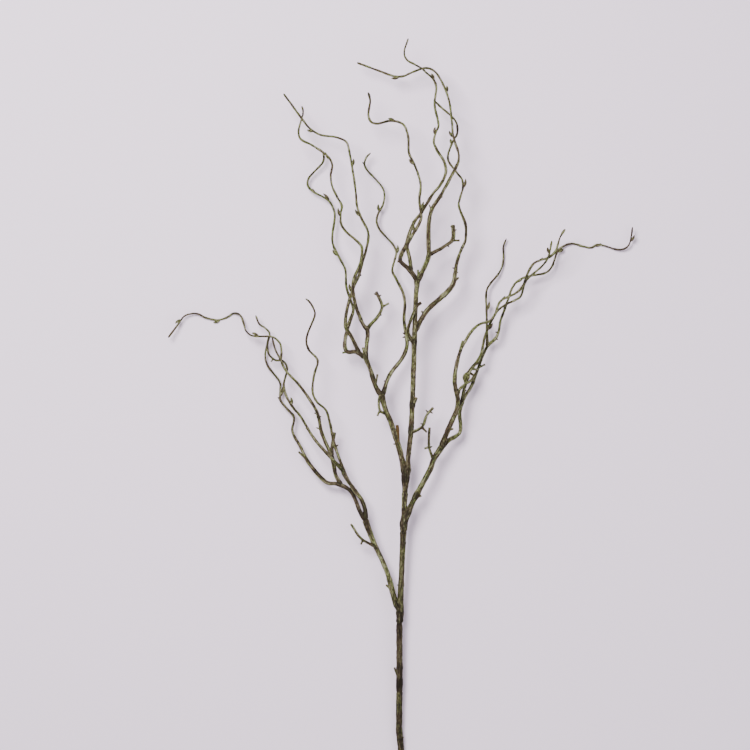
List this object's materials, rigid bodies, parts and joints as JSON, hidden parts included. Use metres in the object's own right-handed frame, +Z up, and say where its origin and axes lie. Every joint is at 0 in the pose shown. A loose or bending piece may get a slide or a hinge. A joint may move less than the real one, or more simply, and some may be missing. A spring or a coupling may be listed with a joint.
{
  "type": "willow stems",
  "caption": "Curly willow stem lying on a surface: a jointed olive-brown stem that forks into long wavy tendrils with small buds and cut stubs.",
  "frame": {"origin": "on the surface that the stem lies on, under the middle of its bounding box", "axes": "+X towards the right spray, +Y from the cut end towards the tips, +Z up from the surface"},
  "size_m": [0.6553, 1.1443, 0.0698],
  "materials": {
    "bark_dark": "dark olive-brown moulded bark with lengthwise grain, satin",
    "bark_olive": "olive-brown moulded bark with brown mottling and grey-green highlights, satin"
  },
  "bodies": {
    "root": {"butt_length": "bark_dark", "lower_length": "bark_dark", "middle_length": "bark_dark", "upper_length": "bark_olive", "left_spray": "bark_olive", "right_spray": "bark_olive", "crown_spray": "bark_olive", "leader_spray": "bark_olive"}
  },
  "joints": []
}
